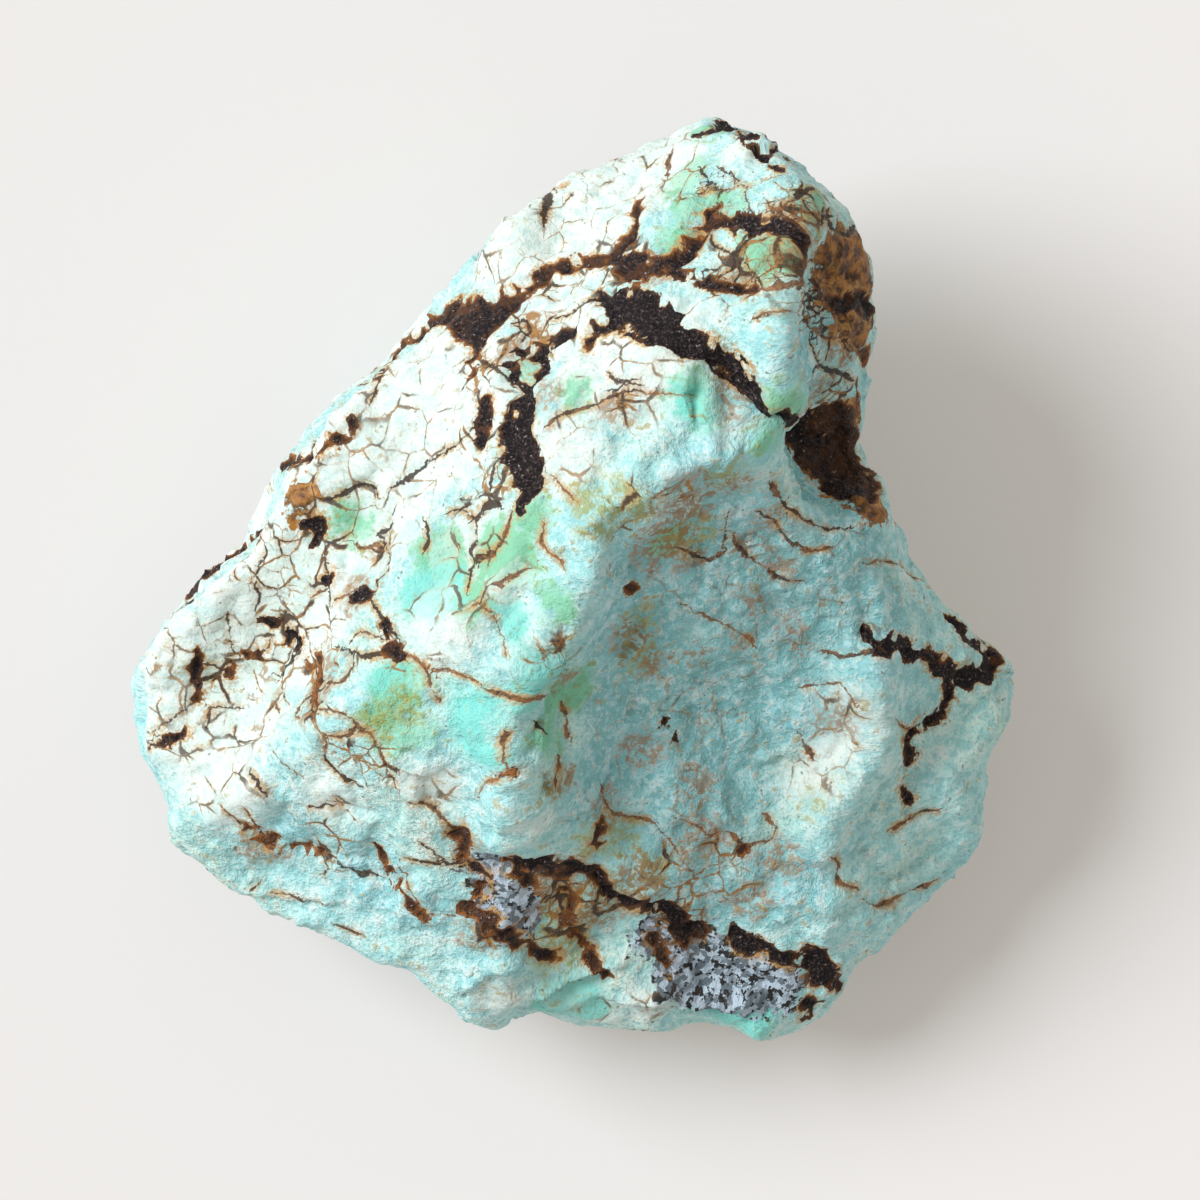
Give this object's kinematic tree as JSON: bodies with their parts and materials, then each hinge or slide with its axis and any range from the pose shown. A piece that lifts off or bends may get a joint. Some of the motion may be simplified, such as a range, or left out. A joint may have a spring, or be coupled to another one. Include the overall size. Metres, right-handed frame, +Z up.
{
  "type": "raw turquoise nugget",
  "caption": "Rough unpolished turquoise nugget with flat fracture faces, a high ridge, dark matrix veins and a flat underside to rest on.",
  "frame": {"origin": "centre of the bounding box, on the surface that the stone rests on", "axes": "+Z up, +Y towards the tall crown end along the longest extent, +X towards the shoulder and its knob"},
  "size_m": [0.031, 0.0322, 0.0184],
  "materials": {
    "turquoise": "chalky, unpolished, with brown and black matrix veins"
  },
  "bodies": {
    "root": {"turquoise_nugget": "turquoise"}
  },
  "joints": []
}
